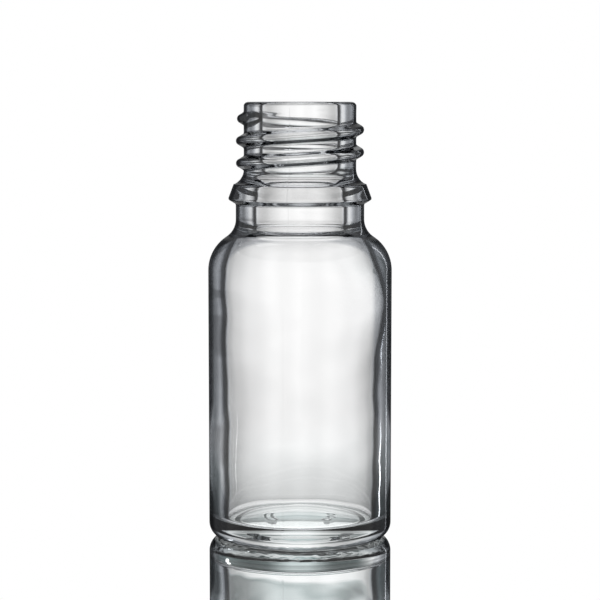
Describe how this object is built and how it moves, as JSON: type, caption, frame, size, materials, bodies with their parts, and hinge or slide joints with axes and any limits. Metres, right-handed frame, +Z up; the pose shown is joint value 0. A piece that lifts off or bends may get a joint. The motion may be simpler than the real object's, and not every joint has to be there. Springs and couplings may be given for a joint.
{
  "type": "glass dropper bottle",
  "caption": "Small clear glass bottle with a round body, curved shoulder, locking ring and external screw thread for a dropper closure.",
  "frame": {"origin": "centre of the standing ring, on the plane the bottle stands on", "axes": "+Z up along the bottle's axis, -Y towards the viewer of the picture, the thread's upper end a little in front of -X"},
  "size_m": [0.0248, 0.0248, 0.059],
  "materials": {
    "clear_glass": "polished clear moulded glass"
  },
  "bodies": {
    "root": {"bottle": "clear_glass"}
  },
  "joints": []
}
